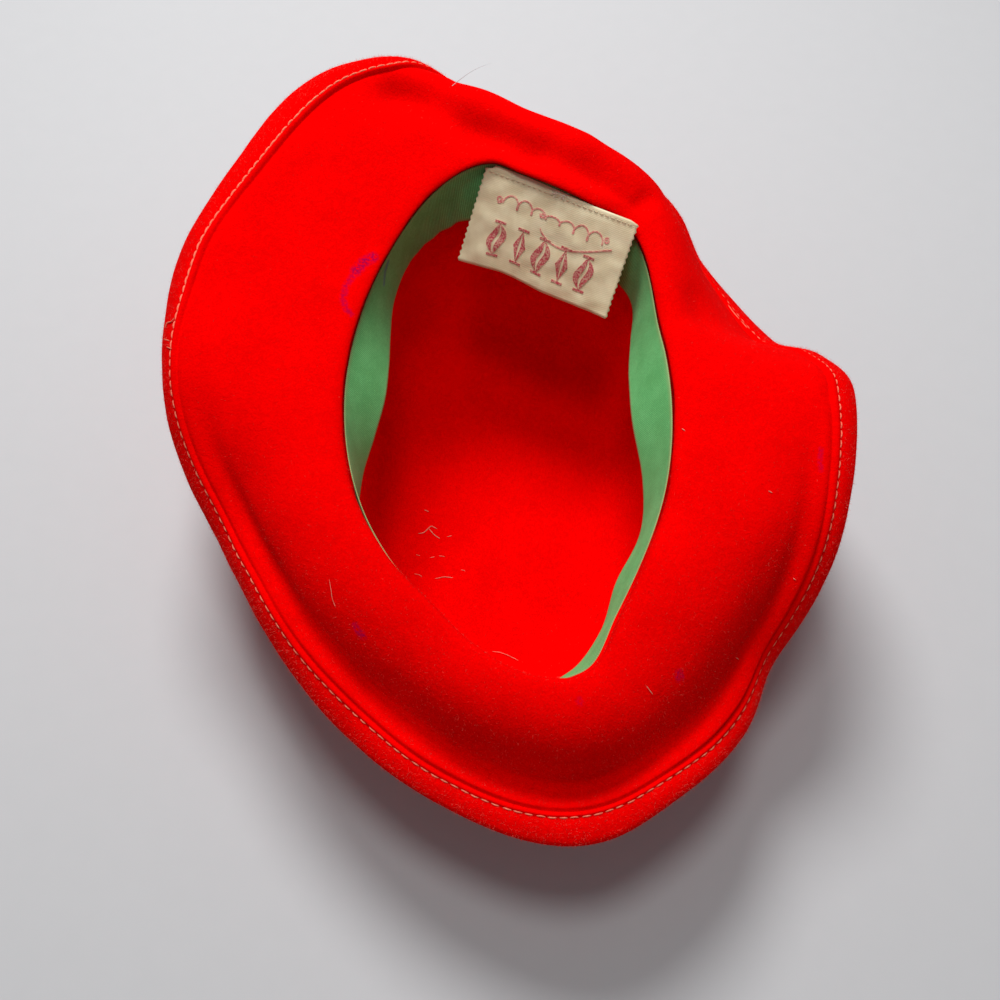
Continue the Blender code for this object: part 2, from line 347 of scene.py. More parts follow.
def headPoint(angle, row):
    return np.array([
        felt["headHalfWidth"] * row["reach"] * math.cos(math.radians(angle)) + felt["offset"][0],
        felt["headHalfLength"] * row["reach"] * math.sin(math.radians(angle)) + felt["headShift"] + felt["offset"][1],
        felt["headHeight"] * (1.0 + row["lift"]),
    ])


def gutterLift(angle, cut, shares):
    amount = rowAt(angle, gutterRows, ("amount",))["amount"]
    return amount * sum(height * np.exp(-(((shares - cut - at) / spread) ** 2)) for at, spread, height in gutterForm)


def brimLine(angle, row):
    steps = felt["pathSteps"]
    slopes = slopesAlong(row, (np.arange(steps) + 0.5) / steps)
    step = felt["brimWidth"] * row["width"] / steps
    across = outward(angle)
    level = np.concatenate([[0.0], np.cumsum(np.cos(slopes))]) * step
    height = np.concatenate([[0.0], np.cumsum(np.sin(slopes))]) * step
    return headPoint(angle, row) + np.stack([level * across[0], level * across[1], height], 1)


def crownLine(angle, row):
    head = headPoint(angle, row)
    rows = np.array(crownRows)
    where, spread, fuller = felt["crownCorner"]
    corner = fuller * math.exp(-(((angle - where) / spread) ** 2))
    per = felt["crownStepsPerRow"]
    points = []
    for k in range(len(rows) - 1):
        before, after = rows[max(k - 1, 0)], rows[min(k + 2, len(rows) - 1)]
        for step in range(per):
            u = step / per
            height, reach = hermite(rows[k], rows[k + 1], (rows[k + 1] - before) / 2, (after - rows[k]) / 2, u)
            blend = smooth((height - felt["crownBlendFrom"]) / (1.0 - felt["crownBlendFrom"]))
            reach *= 1.0 + corner * smooth(height / felt["crownBlendFrom"])
            x = felt["crownHalfWidth"] * reach * math.cos(math.radians(angle)) + felt["offset"][0]
            y = (felt["crownHalfLength"] * reach * math.sin(math.radians(angle))
                 + felt["crownShift"] + felt["offset"][1])
            z = felt["thickness"] + max(height, 0.0) * (head[2] - felt["thickness"])
            points.append((x + blend * (head[0] - x), y + blend * (head[1] - y), z))
    return np.array(points)


def gridNormals(grid):
    along = np.gradient(grid, axis=0)
    around = (np.roll(grid, -1, 1) - np.roll(grid, 1, 1)) / 2
    return unit(np.cross(along, around))


def nearLineShare(points, line, radius):
    best = np.full(points.shape[:-1], 1e9)
    for start, end in zip(line, line[1:]):
        start, run = np.array(start), np.array(end - start)
        along = np.clip(((points - start) @ run) / (run @ run), 0, 1)
        best = np.minimum(best, np.linalg.norm(points - start - along[..., None] * run, axis=-1))
    return np.exp(-((best / radius) ** 2))


def readAt(grid, shares):
    # the brim's grid read at one share per direction, between its steps
    low = np.clip(np.floor(shares).astype(int), 0, felt["pathSteps"] - 1)
    part = (shares - low)[:, None]
    columns = np.arange(grid.shape[1])
    return grid[low, columns] * (1 - part) + grid[low + 1, columns] * part


def feltSurface():
    angles = np.arange(felt["around"]) * 360.0 / felt["around"]
    rows = [rowAt(angle, brimRows, brimColumns) for angle in angles]
    crown = np.stack([crownLine(angle, row) for angle, row in zip(angles, rows)], 1)
    brim = np.stack([brimLine(angle, row) for angle, row in zip(angles, rows)], 1)
    grid = np.concatenate([crown, brim])
    normals = gridNormals(grid)
    lift = np.zeros(grid.shape[:2])
    shares = np.arange(len(brim))
    middle, spread = felt["lip"]
    below = (crown[..., 2] - brim[0, :, 2]) / felt["brimWidth"] * 100
    fromHead = np.concatenate([below, np.tile(shares, (len(angles), 1)).T])
    swell = np.exp(-(((fromHead - middle) / spread) ** 2)) * [rowAt(a, lipRows, ("in",))["in"] for a in angles]
    grid[..., 0] -= swell * [outward(a)[0] for a in angles]
    grid[..., 1] -= swell * [outward(a)[1] for a in angles]
    onBrim = np.clip((fromHead - 5) / 8, 0, 1)
    for k, angle in enumerate(angles):
        lift[len(crown):, k] += gutterLift(angle, rowAt(angle, hemRows, hemColumns)["cut"], shares)
    for scale, depth in felt["wander"]:
        lift += depth * np.array([[noise.noise(Vector(p * scale)) for p in ring] for ring in grid])
    cadFelt = treeOf(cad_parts["felt_body"])
    for path, radius, depth in feltDents:
        near = nearLineShare(grid, [pointOn(cadFelt, x, y) for x, y in path], radius)
        lift -= depth * near * np.where(fromHead > -30, onBrim, 1.0)
    restShare = np.clip((grid[..., 2] - 0.004) / 0.02, 0, 1)  # nothing moves where the crown rests
    grid = grid + normals * (lift * restShare)[..., None]
    normals = gridNormals(grid)
    return angles, grid, normals, len(crown)


angles, feltGrid, feltNormals, crownCount = feltSurface()
brimGrid, brimNormals = feltGrid[crownCount:], feltNormals[crownCount:]
hemAt = [rowAt(angle, hemRows, hemColumns) for angle in angles]
stitchShare = np.array([row["stitch"] for row in hemAt])
cutShare = np.array([row["cut"] for row in hemAt])


def hemRing(shares, rise):
    return readAt(brimGrid, shares) + unit(readAt(brimNormals, shares)) * rise


def feltRings():
    rings = list(feltGrid[:crownCount])
    rings += [brimGrid[k] for k in list(range(0, 11)) + list(range(12, 73, 2))]
    for share in (0.25, 0.5, 0.75):  # even steps up to the cut edge
        rings.append(readAt(brimGrid, 72 + (cutShare - 4.5 - 72) * share))
    run = stitchShare - cutShare
    rings += [hemRing(cutShare + run * share, rise) for share, rise in hemShoulder]
    rings += [hemRing(stitchShare + (100 - stitchShare) * share, rise) for share, rise in hemPuff]
    # round the fold
    edge, up = brimGrid[-1], brimNormals[-1]
    out = brimGrid[-1] - brimGrid[-3]
    out = unit(out - (out * up).sum(1, keepdims=True) * up)
    radius = felt["thickness"] + felt["hemGap"] / 2
    for turn in np.radians((68, 46, 24, 2, -20, -42, -66)):
        rings.append(edge + up * (felt["hemGap"] / 2 + radius * math.sin(turn)) + out * radius * math.cos(turn))
    rings += [brimGrid[k] - brimNormals[k] * felt["thickness"] for k in range(100, -1, -4)]
    rings += [feltGrid[k] - feltNormals[k] * felt["thickness"] for k in range(crownCount - 1, -1, -1)]
    return rings


def feltMaterial():
    skin = Shading("feltRed", 1.0, felt["bright"], specular=0.01)
    skin.shader.inputs["Sheen Weight"].default_value = 0.12
    skin.shader.inputs["Sheen Roughness"].default_value = 0.6
    skin.shader.inputs["Sheen Tint"].default_value = (1.0, 0.01, 0.01, 1.0)
    hairs = skin.noise(1500.0, 3.0, Roughness=0.65, Distortion=0.6)
    clumps = skin.noise(330.0, 2.0, Distortion=1.5)
    cloud = skin.noise(38.0, 3.0)
    tone = skin.math("ADD", skin.math("MULTIPLY", hairs, 0.45), skin.math("MULTIPLY", clumps, 0.30))
    tone = skin.math("ADD", tone, skin.math("MULTIPLY", cloud, 0.25))
    colour = skin.mix(skin.span(tone, 0.36, 0.62), (*felt["deep"], 1.0), (*felt["bright"], 1.0))
    return skin, colour, hairs, clumps


def buildFelt():
    rings = feltRings()
    count = felt["around"]
    bottom = (felt["offset"][0], felt["crownShift"] + felt["offset"][1], 0.0)
    points = np.concatenate([[(bottom[0], bottom[1], felt["thickness"])], *rings, [bottom]])
    points[:, 2] = np.maximum(points[:, 2], 0.0)
    last = len(points) - 1
    faces = ringFaces(len(rings), count, 1).tolist()
    faces += [(0, 1 + k, 1 + (k + 1) % count) for k in range(count)]
    faces += [(last, last - count + (k + 1) % count, last - count + k) for k in range(count)]
    skin, colour, hairs, clumps = feltMaterial()
    made = addMesh("felt_hat", points, faces, [skin.material])
    tree = treeOf(made)
    marks = None
    for path, radius, blur, strength in inkMarks:
        mark = skin.nearLine([pointOn(tree, x, y) for x, y in path], radius, blur)
        mark = skin.math("MULTIPLY", mark, strength)
        marks = mark if marks is None else skin.math("MAXIMUM", marks, mark)
    blotch = skin.span(skin.noise(900.0, 2.0), 0.30, 0.62)
    skin.use("Base Color", skin.mix(skin.math("MULTIPLY", marks, blotch), colour, felt["inkTone"]))
    skin.bump(skin.math("ADD", hairs, skin.math("MULTIPLY", clumps, 0.8)), 0.55, 0.0005)
    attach(made, "root")
    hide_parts("felt_body")
    return made, tree, points, faces


# violet pen marks, by points of the picture: path, radius, blur, strength
inkMarks = (
    (((373, 257), (365, 261), (356, 271)), 0.0006, 0.0026, 0.75),
    (((356, 271), (346, 286), (343, 299), (346, 309), (351, 314)), 0.0003, 0.0018, 0.45),
    (((355, 626), (358, 631), (363, 636)), 0.0004, 0.0018, 0.55),
    (((679, 674), (680, 678)), 0.0007, 0.0018, 0.60),
    (((821, 449), (820, 460), (821, 470)), 0.0001, 0.0014, 0.30),
    (((579, 700), (580, 703)), 0.0003, 0.0016, 0.22),
)

feltHat, feltTree, feltPoints, feltFaces = buildFelt()
print("felt built:", len(feltFaces), "faces")

# ---- nap: short loose fibres standing off the felt

nap = {
    "top": 49000, "edge": 49000, "under": 30000,
    "length": (0.0005, 0.0012),
    "edgeLength": (0.0006, 0.0018),
    "width": 0.00005,
    "lift": (0.25, 0.9),
    "red": (0.95, 0.004, 0.003),
    "pale": (0.95, 0.20, 0.15),
}


def napMaterials():
    skins = []
    for name in ("red", "pale"):
        skin = Shading("fibre" + name.title(), 0.9, nap[name], specular=0.1)
        tone = skin.span(skin.noise(700.0, 1.0), 0.3, 0.7)
        dark = tuple(0.6 * value for value in nap[name])
        skin.use("Base Color", skin.mix(tone, (*dark, 1.0), (*nap[name], 1.0)))
        skins.append(skin.material)
    return skins


def addNap(name, points, triangles, weights, count, lengths, paleShare, skins):
    a, b, c = points[triangles[:, 0]], points[triangles[:, 1]], points[triangles[:, 2]]
    cross = np.cross(b - a, c - a)
    area = np.linalg.norm(cross, axis=1) * weights
    picked = dice.choice(len(triangles), count, p=area / area.sum())
    u, v = dice.random((2, count))
    flip = u + v > 1
    u[flip], v[flip] = 1 - u[flip], 1 - v[flip]
    root = a[picked] + (b - a)[picked] * u[:, None] + (c - a)[picked] * v[:, None]
    normal = unit(cross[picked])
    side = unit(np.cross(normal, unit(dice.normal(size=(count, 3)))))
    lift = dice.uniform(*nap["lift"], count)[:, None]
    way = unit(normal * lift + side * (1.1 - lift))
    size = dice.uniform(*lengths, count)[:, None]
    first = unit(np.cross(way, normal + 0.3 * side))
    second = np.cross(way, first)
    half = nap["width"] / 2
    base = root - normal * 0.00008
    corners = [base + first * half, base - first * half / 2 + second * half, base - first * half / 2 - second * half]
    tip = root + way * size
    spikes = np.stack([*corners, tip], 1).reshape(-1, 3)
    start = np.arange(count)[:, None] * 4
    spikeFaces = ((0, 1, 3), (1, 2, 3), (2, 0, 3), (2, 1, 0))
    sides = np.concatenate([start + np.array(face) for face in spikeFaces], 1).reshape(-1, 3)
    made = addMesh(name, spikes, sides, skins, smooth=False)
    pale = np.repeat(dice.random(count) < paleShare, 4).astype(np.int32)
    made.data.polygons.foreach_set("material_index", pale)
    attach(made, "root")


def buildNap():
    quads = np.array([face for face in feltFaces if len(face) == 4])
    triangles = np.concatenate([quads[:, [0, 1, 2]], quads[:, [0, 2, 3]]])
    ring = (triangles.min(1) - 1) // felt["around"]
    topRings = crownCount + 11 + 31 + 3
    hemRings = topRings + len(hemShoulder) + len(hemPuff) + 7
    middle = feltPoints[triangles].mean(1)
    skins = napMaterials()
    visible = ring < topRings
    inside = visible & (ring < crownCount)
    near = 0.4 + 2.2 * np.clip((-middle[:, 1] - 0.02) / 0.08, 0, 1)  # woollier towards the near side
    weights = visible * np.where(inside, 0.35, near)
    addNap("nap_top", feltPoints, triangles, weights, nap["top"], nap["length"], 0.22, skins)
    weights = ((ring >= topRings + 8) & (ring < hemRings + 5)) * (0.6 + 0.4 * near)
    addNap("nap_edge", feltPoints, triangles, weights, nap["edge"], nap["edgeLength"], 0.4, skins)
    addNap("nap_under", feltPoints, triangles, (ring >= hemRings) * 1.0, nap["under"], nap["length"], 0.2, skins)


buildNap()
print("nap built")

# ---- stitches that hold the hem down, seen on both faces of the brim

stitches = {
    "pitch": 0.00405,
    "length": 0.0033,
    "thread": 0.00027,
    "thick": (143.0, 42.0, 0.00016),  # where the thread lies looser: direction, spread, how much thicker
    "rise": 0.00026,
    "sink": 0.00028,
    "hemRise": 0.00070,
    "tone": (0.95, 0.27, 0.16),
    "shade": (0.85, 0.12, 0.06),
}


def threadMaterial(name, tone, shade):
    skin = Shading(name, 0.7, tone, specular=0.3)
    twist = skin.noise(2600.0, 2.0)
    skin.use("Base Color", skin.mix(skin.span(twist, 0.35, 0.62), (*shade, 1.0), (*tone, 1.0)))
    skin.bump(twist, 0.4, 0.0001)
    return skin.material


def tubePoints(line, normals, radii, sides):
    along = unit(np.gradient(line, axis=0))
    across = unit(np.cross(along, normals))
    up = np.cross(across, along)
    rings = []
    for k in range(sides):
        turn = 2 * math.pi * k / sides
        rings.append(line + (across * math.cos(turn) + up * math.sin(turn)) * radii[:, None])
    return np.stack(rings, 1)  # stations, sides, 3


def addTubes(name, tubes, sides, material):
    points, faces = [], []
    for stations in tubes:
        first = sum(len(p) for p in points)
        flat = stations.reshape(-1, 3)
        points.append(flat)
        faces += ringFaces(len(stations), sides, first).tolist()
        faces.append([first + k for k in range(sides)][::-1])
        faces.append([first + len(flat) - sides + k for k in range(sides)])
    return addMesh(name, np.concatenate(points), faces, [material])


def ringReader(ring, normals):
    # place and normal at a distance along a closed ring of points
    closedRing = np.concatenate([ring, ring[:1]])
    closedNormals = np.concatenate([normals, normals[:1]])
    far = np.concatenate([[0.0], np.cumsum(np.linalg.norm(np.diff(closedRing, axis=0), axis=1))])

    def read(distance):
        distance = np.asarray(distance) % far[-1]
        place = np.stack([np.interp(distance, far, closedRing[:, k]) for k in range(3)], -1)
        normal = np.stack([np.interp(distance, far, closedNormals[:, k]) for k in range(3)], -1)
        return place, unit(normal)

    return read, far[-1]


def stitchTubes(ring, normals):
    read, total = ringReader(ring, normals)
    count = round(total / stitches["pitch"])
    tubes = []
    for k in range(count):
        start = total * k / count + dice.normal() * 0.00012
        where, spread, thicker = stitches["thick"]
        loose = math.exp(-(((360.0 * k / count - where) / spread) ** 4))
        length = stitches["length"] * (1 + 0.06 * dice.normal() + 0.12 * loose)
        share = np.linspace(0, 1, 7)
        place, normal = read(start + length * share)
        arch = np.sin(math.pi * share) ** 0.55
        height = -stitches["sink"] + (stitches["rise"] + stitches["sink"]) * arch
        sway = unit(np.cross(place[-1] - place[0], normal[0])) * dice.normal() * 0.00009
        line = place + normal * height[:, None] + sway * np.sin(math.pi * share)[:, None]
        radii = (stitches["thread"] + thicker * loose) * (0.72 + 0.28 * arch)
        tubes.append(tubePoints(line, normal, radii, 6))
    return tubes


def buildStitches():
    upper = hemRing(stitchShare, stitches["hemRise"])
    upNormals = unit(readAt(brimNormals, stitchShare))
    lower = hemRing(stitchShare, -felt["thickness"])
    tubes = stitchTubes(upper, upNormals) + stitchTubes(lower, -upNormals)
    made = addTubes("hem_stitches", tubes, 6, threadMaterial("hemThread", stitches["tone"], stitches["shade"]))
    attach(made, "root")


buildStitches()
print("stitches built")

# ---- ribbon sweatband: cross ribs and looped edges

ribbon = {
    "width": 0.025,
    "thickness": 0.00045,
    "inset": 0.0015,
    "drop": 0.0012,
    "dropUpright": 0.0012,
    "leanFull": 42.0,
    "behindRoll": (196.0, 291.0, 0.0030),  # directions where it sits lower, and how much
    "ribPitch": 0.00080,
    "ribHeight": 0.00024,
    "loop": 0.00045,
    "rows": (0.0, 0.03, 0.08, 0.2, 0.35, 0.5, 0.65, 0.8, 0.92, 0.97, 1.0),
    "gathers": (108.0, 16.0, 0.0090, 0.0010),  # where, how far round, wave length, depth
    "light": (0.24, 0.78, 0.29),
    "dark": (0.15, 0.56, 0.18),
    # painted shade: dark green put into the grooves between the ribs
    "ribGrooveShade": (0.05, 0.24, 0.06),
    "edge": (0.55, 0.36, 0.16),
    "inkTone": (0.05, 0.08, 0.30, 1.0),
}


# degrees that the ribbon leans in from upright, by direction
leanRows = (
    (0, 31), (12, 29), (24, 18), (34, 9), (46, 28), (60, 37), (84, 36), (96, 27), (108, 10), (120, 1), (132, -2),
    (144, 5), (156, 19), (165, 28), (174, 31), (183, 22), (192, 8), (204, -4), (225, -2), (250, 3), (280, 12),
    (293, 20), (306, 11), (319, 17), (333, 12), (346, 19),
)


def ribbonFrame(angle):
    head = headPoint(angle, rowAt(angle, brimRows, brimColumns))
    across = np.array([*outward(angle), 0.0])
    degrees = rowAt(angle, leanRows, ("lean",))["lean"]
    lean = math.radians(degrees)
    head[2] -= ribbon["drop"] + ribbon["dropUpright"] * (1.0 - degrees / ribbon["leanFull"])
    low, high, deeper = ribbon["behindRoll"]
    head[2] -= deeper * smooth((angle % 360 - low) / 12.0) * smooth((high - angle % 360) / 8.0)
    top = head - across * ribbon["inset"]
    down = -across * math.sin(lean) + np.array([0.0, 0.0, -math.cos(lean)])
    face = -across * math.cos(lean) + np.array([0.0, 0.0, math.sin(lean)])
    return top, down, face


def buildRibbon():
    guide = np.linspace(0.0, 360.0, 721)
    middle = np.array([top + down * ribbon["width"] / 2 for top, down, _ in map(ribbonFrame, guide)])
    far = np.concatenate([[0.0], np.cumsum(np.linalg.norm(np.diff(middle, axis=0), axis=1))])
    columns = 2 * round(far[-1] / ribbon["ribPitch"])
    turns = np.interp(np.arange(columns) * far[-1] / columns, far, guide)
    tops, downs, faces = [np.array(part) for part in zip(*map(ribbonFrame, turns))]
    rib = np.where(np.arange(columns) % 2 == 0, 1.0, 0.0)
    where, spread, waveLength, depth = ribbon["gathers"]
    window = np.exp(-(((turns - where) / spread) ** 2))
    wave = window * depth * (0.5 + 0.5 * np.sin(2 * math.pi * np.arange(columns) * far[-1] / columns / waveLength))
    front, back, edge = [], [], []
    for share in ribbon["rows"]:
        loop = 0.0
        if share in (0.0, 1.0):
            loop = ribbon["loop"] * (rib - 0.5) * (1 if share else -1)
        line = tops + downs * (share * ribbon["width"] + np.zeros(columns) + loop)[:, None]
        line = line + faces * (wave * share)[:, None]
        relief = ribbon["ribHeight"] * (rib - 1.0)
        front.append(line + faces * relief[:, None])
        back.append(line - faces * (ribbon["thickness"] + 0.3 * relief)[:, None])
        edge.append(np.full(columns, 1.0 - min(min(share, 1 - share) / 0.055, 1.0)))
    rings = front + back[::-1]
    points = np.concatenate(rings)
    quads = ringFaces(len(rings), columns)
    seam = ringFaces(2, columns)
    lastRow = (len(rings) - 1) * columns
    seam = np.where(seam < columns, seam + lastRow, seam - columns)
    quads = np.concatenate([quads, seam])[:, ::-1]
    skin = Shading("ribbonGreen", 0.62, ribbon["light"], specular=0.35)
    skin.shader.inputs["Sheen Weight"].default_value = 0.12
    skin.shader.inputs["Sheen Tint"].default_value = (0.6, 1.0, 0.6, 1.0)
    warp = skin.noise(1900.0, 2.0)
    cloud = skin.noise(120.0, 2.0)
    ribGrooveShade = skin.add("Attribute", "Fac", {"attribute_name": "ribGrooveShade"})
    picot = skin.add("Attribute", "Fac", {"attribute_name": "picot"})
    tone = skin.math("ADD", skin.math("MULTIPLY", warp, 0.6), skin.math("MULTIPLY", cloud, 0.4))
    colour = skin.mix(skin.span(tone, 0.35, 0.65), (*ribbon["dark"], 1.0), (*ribbon["light"], 1.0))
    # painted shade: the grooves between the ribs on the front face are coloured dark green
    colour = skin.mix(skin.math("MULTIPLY", ribGrooveShade, 0.85), colour, (*ribbon["ribGrooveShade"], 1.0))
    made = addMesh("ribbon_sweatband", points, quads.tolist(), [skin.material], smooth=True)
    tree = treeOf(made)
    mark = skin.nearLine([pointOn(tree, x, y) for x, y in ((388, 262), (385, 272), (384, 284))], 0.0004, 0.0012)
    colour = skin.mix(skin.math("MULTIPLY", mark, 0.6), colour, ribbon["inkTone"])
    skin.use("Base Color", skin.mix(skin.math("MULTIPLY", picot, 0.75), colour, (*ribbon["edge"], 1.0)))
    skin.bump(warp, 0.35, 0.00012)
    rows = len(ribbon["rows"])
    # painted shade mask: 1 on the front face's grooves between the ribs, 0 on the ribs and the back
    shade = np.concatenate([np.tile(1.0 - rib, rows), np.zeros(rows * columns)])
    trim = np.concatenate(edge + edge[::-1]) * np.tile(np.where(rib > 0, 1.0, 0.0), 2 * rows)
    for name, values in (("ribGrooveShade", shade), ("picot", trim)):
        made.data.attributes.new(name, "FLOAT", "POINT").data.foreach_set("value", values)
    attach(made, "root")
    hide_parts("sweatband")
    print("ribbon is", round(far[-1], 3), "m round")


buildRibbon()
print("ribbon built")

# ---- label: woven cloth with pinked sides and a plain woven pattern

label = {
    "width": 0.070,
    "height": 0.042,
    "thickness": 0.00045,
    "topShares": (0.349, 0.8324, 1.103),
    "turn": -26.0,
    "tilt": 1.0,
    "lean": 44.0,
    "sag": 0.004,
    "tucked": 0.0014,  # how far its top reaches up behind the felt
    "tuckEnd": 0.2,  # where along the label that ends, and over how much of it
    "tuckFade": 0.4,
    "curl": 0.0007,
    "wave": 0.0006,
    "columns": 70,
    "teeth": 16,
    "toothDepth": 0.0007,
    "cream": (0.90, 0.78, 0.52),
    "shade": (0.76, 0.62, 0.38),
    "pink": (0.52, 0.045, 0.075),
    "pinkLight": (0.70, 0.17, 0.17),
}


def labelPlace(along, down):
    down = down * (1.0 - 0.035 * math.exp(-(((along + 0.19) / 0.17) ** 2)))  # the free edge lifts at one place
    turn, lean = math.radians(label["turn"]), math.radians(label["lean"])
    side = np.array([math.cos(turn), math.sin(turn), 0.0])
    inward = np.array([math.sin(turn), -math.cos(turn), 0.0])
    sag = label["sag"] * down * down * (1.0 - 4.0 * along * along)
    reach = label["height"] * down * math.sin(lean) - sag * math.cos(lean)
    drop = label["height"] * down * math.cos(lean) + sag * math.sin(lean)
    drop = drop + label["width"] * along * math.sin(math.radians(label["tilt"]))
    shares = label["topShares"]
    top = np.array([
        shares[0] * felt["headHalfWidth"] + felt["offset"][0],
        shares[1] * felt["headHalfLength"] + felt["headShift"] + felt["offset"][1],
        shares[2] * felt["headHeight"],
    ])
    return top + label["width"] * along * side + reach * inward - np.array([0.0, 0.0, 1.0]) * drop


def labelFace(along, down):
    if down <= 0:  # its top reaches up behind the felt, less and less towards the right
        fade = min(1.0, max(0.0, (label["tuckEnd"] - along) / label["tuckFade"]))
        down -= label["tucked"] / label["height"] * fade
    here = labelPlace(along, down)
    right = labelPlace(along + 0.01, down) - here
    below = labelPlace(along, down + 0.01) - here
    normal = unit(np.cross(below, right))
    curl = label["curl"] * math.sin(7.0 * along + 1.1) * down
    curl += label["wave"] * noise.noise(Vector((along * 9, down * 7, 3.0))) * min(1.0, 4 * down)
    return here + normal * curl, normal


def labelStrip(lines, lift):
    # a raised patch between two lines of (along, down) points
    count = len(lines[0])
    front, back = [], []
    for along, down in [point for pair in zip(*lines) for point in pair]:
        place, normal = labelFace(along, down)
        front.append(place + normal * lift)
        back.append(place - normal * 0.0001)
    points = np.array(front + back)
    size = 2 * count
    faces = []
    for k in range(count - 1):
        a, b, c, d = 2 * k, 2 * k + 1, 2 * k + 3, 2 * k + 2
        faces += [(a, b, c, d), (a + size, d + size, c + size, b + size), (a, d, d + size, a + size),
                  (b, b + size, c + size, c)]
    faces += [(0, size, size + 1, 1), (size - 2, size - 1, 2 * size - 1, 2 * size - 2)]
    return points, faces


def lineStrip(path, width, lift):
    path = np.array(path)
    run = np.gradient(path, axis=0) * np.array([label["width"], label["height"]])
    across = unit(np.stack([-run[:, 1], run[:, 0]], 1)) * width / 2 / np.array([label["width"], label["height"]])
    return labelStrip((path + across, path - across), lift)


def scrollPaths():
    # a looping vine with small curls, a long swash under it
    t = np.linspace(0.0, 1.0, 170)
    vine = np.stack([-0.33 + 0.66 * t - 0.021 * np.sin(2 * math.pi * 7 * t),
                     0.25 + 0.055 * np.cos(2 * math.pi * 7 * t) * (0.8 + 0.35 * np.sin(math.pi * 3 * t)) + 0.03 * t], 1)
    s = np.linspace(0.0, 1.0, 50)
    swash = np.stack([-0.06 + 0.46 * s, 0.40 + 0.13 * np.sin(math.pi * s**0.7) - 0.06 * s], 1)
    curls = []
    for centre, size, start in ((-0.36, 0.036, 0.0), (0.355, 0.030, math.pi), (-0.07, 0.028, math.pi / 2)):
        turn = np.linspace(0, 2.6 * math.pi, 46)
        grow = size * (0.35 + 0.65 * turn / turn[-1])
        curls.append(np.stack([centre + grow * 0.6 * np.cos(turn + start), 0.27 + grow * np.sin(turn + start)], 1))
    return [vine, swash, *curls]


def motifPatches():
    # a row of leaves and lozenges, each with small bars above and below
    patches = []
    v = np.linspace(0.0, 1.0, 15)
    for k, centre in enumerate((-0.31, -0.155, -0.01, 0.135, 0.28)):
        top, tall = 0.50, 0.33
        if k % 2 == 0:
            half = 0.052 * np.sin(math.pi * v) ** 0.8
            lean = 0.012 * np.sin(2 * math.pi * v)
        else:
            half = 0.040 * (1.0 - np.abs(2 * v - 1))
            lean = np.zeros_like(v)
        down = top + tall * v
        left = np.stack([centre + lean - half - 0.0008, down], 1)
        inner = np.stack([centre + lean - half * 0.22, down], 1)
        innerRight = np.stack([centre + lean + half * 0.22, down], 1)
        right = np.stack([centre + lean + half + 0.0008, down], 1)
        patches += [(left, inner), (innerRight, right)]
        for level in (top - 0.012, top + tall + 0.012):
            bar = np.stack([np.linspace(centre - 0.036, centre + 0.036, 5), np.full(5, level)], 1)
            patches.append((bar - [0, 0.012], bar + [0, 0.012]))
    return patches


def buildLabel():
    columns, rows = label["columns"], 2 * label["teeth"]
    downs = np.linspace(0.0, 1.0, rows + 1)
    front, back = [], []
    for r, down in enumerate(downs):
        tooth = label["toothDepth"] / label["width"] * (0.5 if r % 2 else -0.5)
        for c in range(columns + 1):
            along = c / columns - 0.5
            if c in (0, columns):
                along += math.copysign(tooth, along) if r % 2 else -math.copysign(abs(tooth), along)
            corner = 0.022 * max(0.0, abs(along) / 0.5 - 0.90) / 0.1 if down < 0.02 else 0.0
            place, normal = labelFace(along, down + corner)
            fold = -0.00022 if abs(down - 0.075) < 0.015 else 0.0
            front.append(place + normal * fold)
            back.append(place - normal * label["thickness"])
    wide = columns + 1
    total = wide * (rows + 1)
    faces = []
    for r in range(rows):
        for c in range(columns):
            k = r * wide + c
            faces += [(k, k + wide, k + wide + 1, k + 1),
                      (total + k, total + k + 1, total + k + wide + 1, total + k + wide)]
    rim = [*range(wide), *[r * wide + columns for r in range(1, rows + 1)],
           *[rows * wide + c for c in range(columns - 1, -1, -1)], *[r * wide for r in range(rows - 1, 0, -1)]]
    faces += [(a, b, b + total, a + total) for a, b in zip(rim, rim[1:] + rim[:1])]
    skin = Shading("labelCream", 0.58, label["cream"], specular=0.3)
    skin.shader.inputs["Sheen Weight"].default_value = 0.1
    cloud = skin.span(skin.noise(150.0, 3.0), 0.3, 0.75)
    turned = skin.add("Mapping", Vector=skin.place(), Rotation=(0.0, 0.0, math.radians(-label["turn"])))
    threads = [skin.add("TexWave", "Fac", {"bands_direction": axis}, Vector=turned, Scale=scale, Distortion=1.2)
               for axis, scale in (("X", 520.0), ("Y", 640.0))]
    weave = skin.math("MULTIPLY", threads[0], threads[1])
    colour = skin.mix(cloud, (*label["shade"], 1.0), (*label["cream"], 1.0))
    skin.use("Base Color", skin.mix(skin.math("MULTIPLY", weave, 0.35), colour, (0.93, 0.82, 0.60, 1.0)))
    skin.bump(weave, 0.5, 0.00015)
    made = addMesh("cloth_label", np.array(front + back), faces, [skin.material])
    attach(made, "root")
    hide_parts("label")
    return made


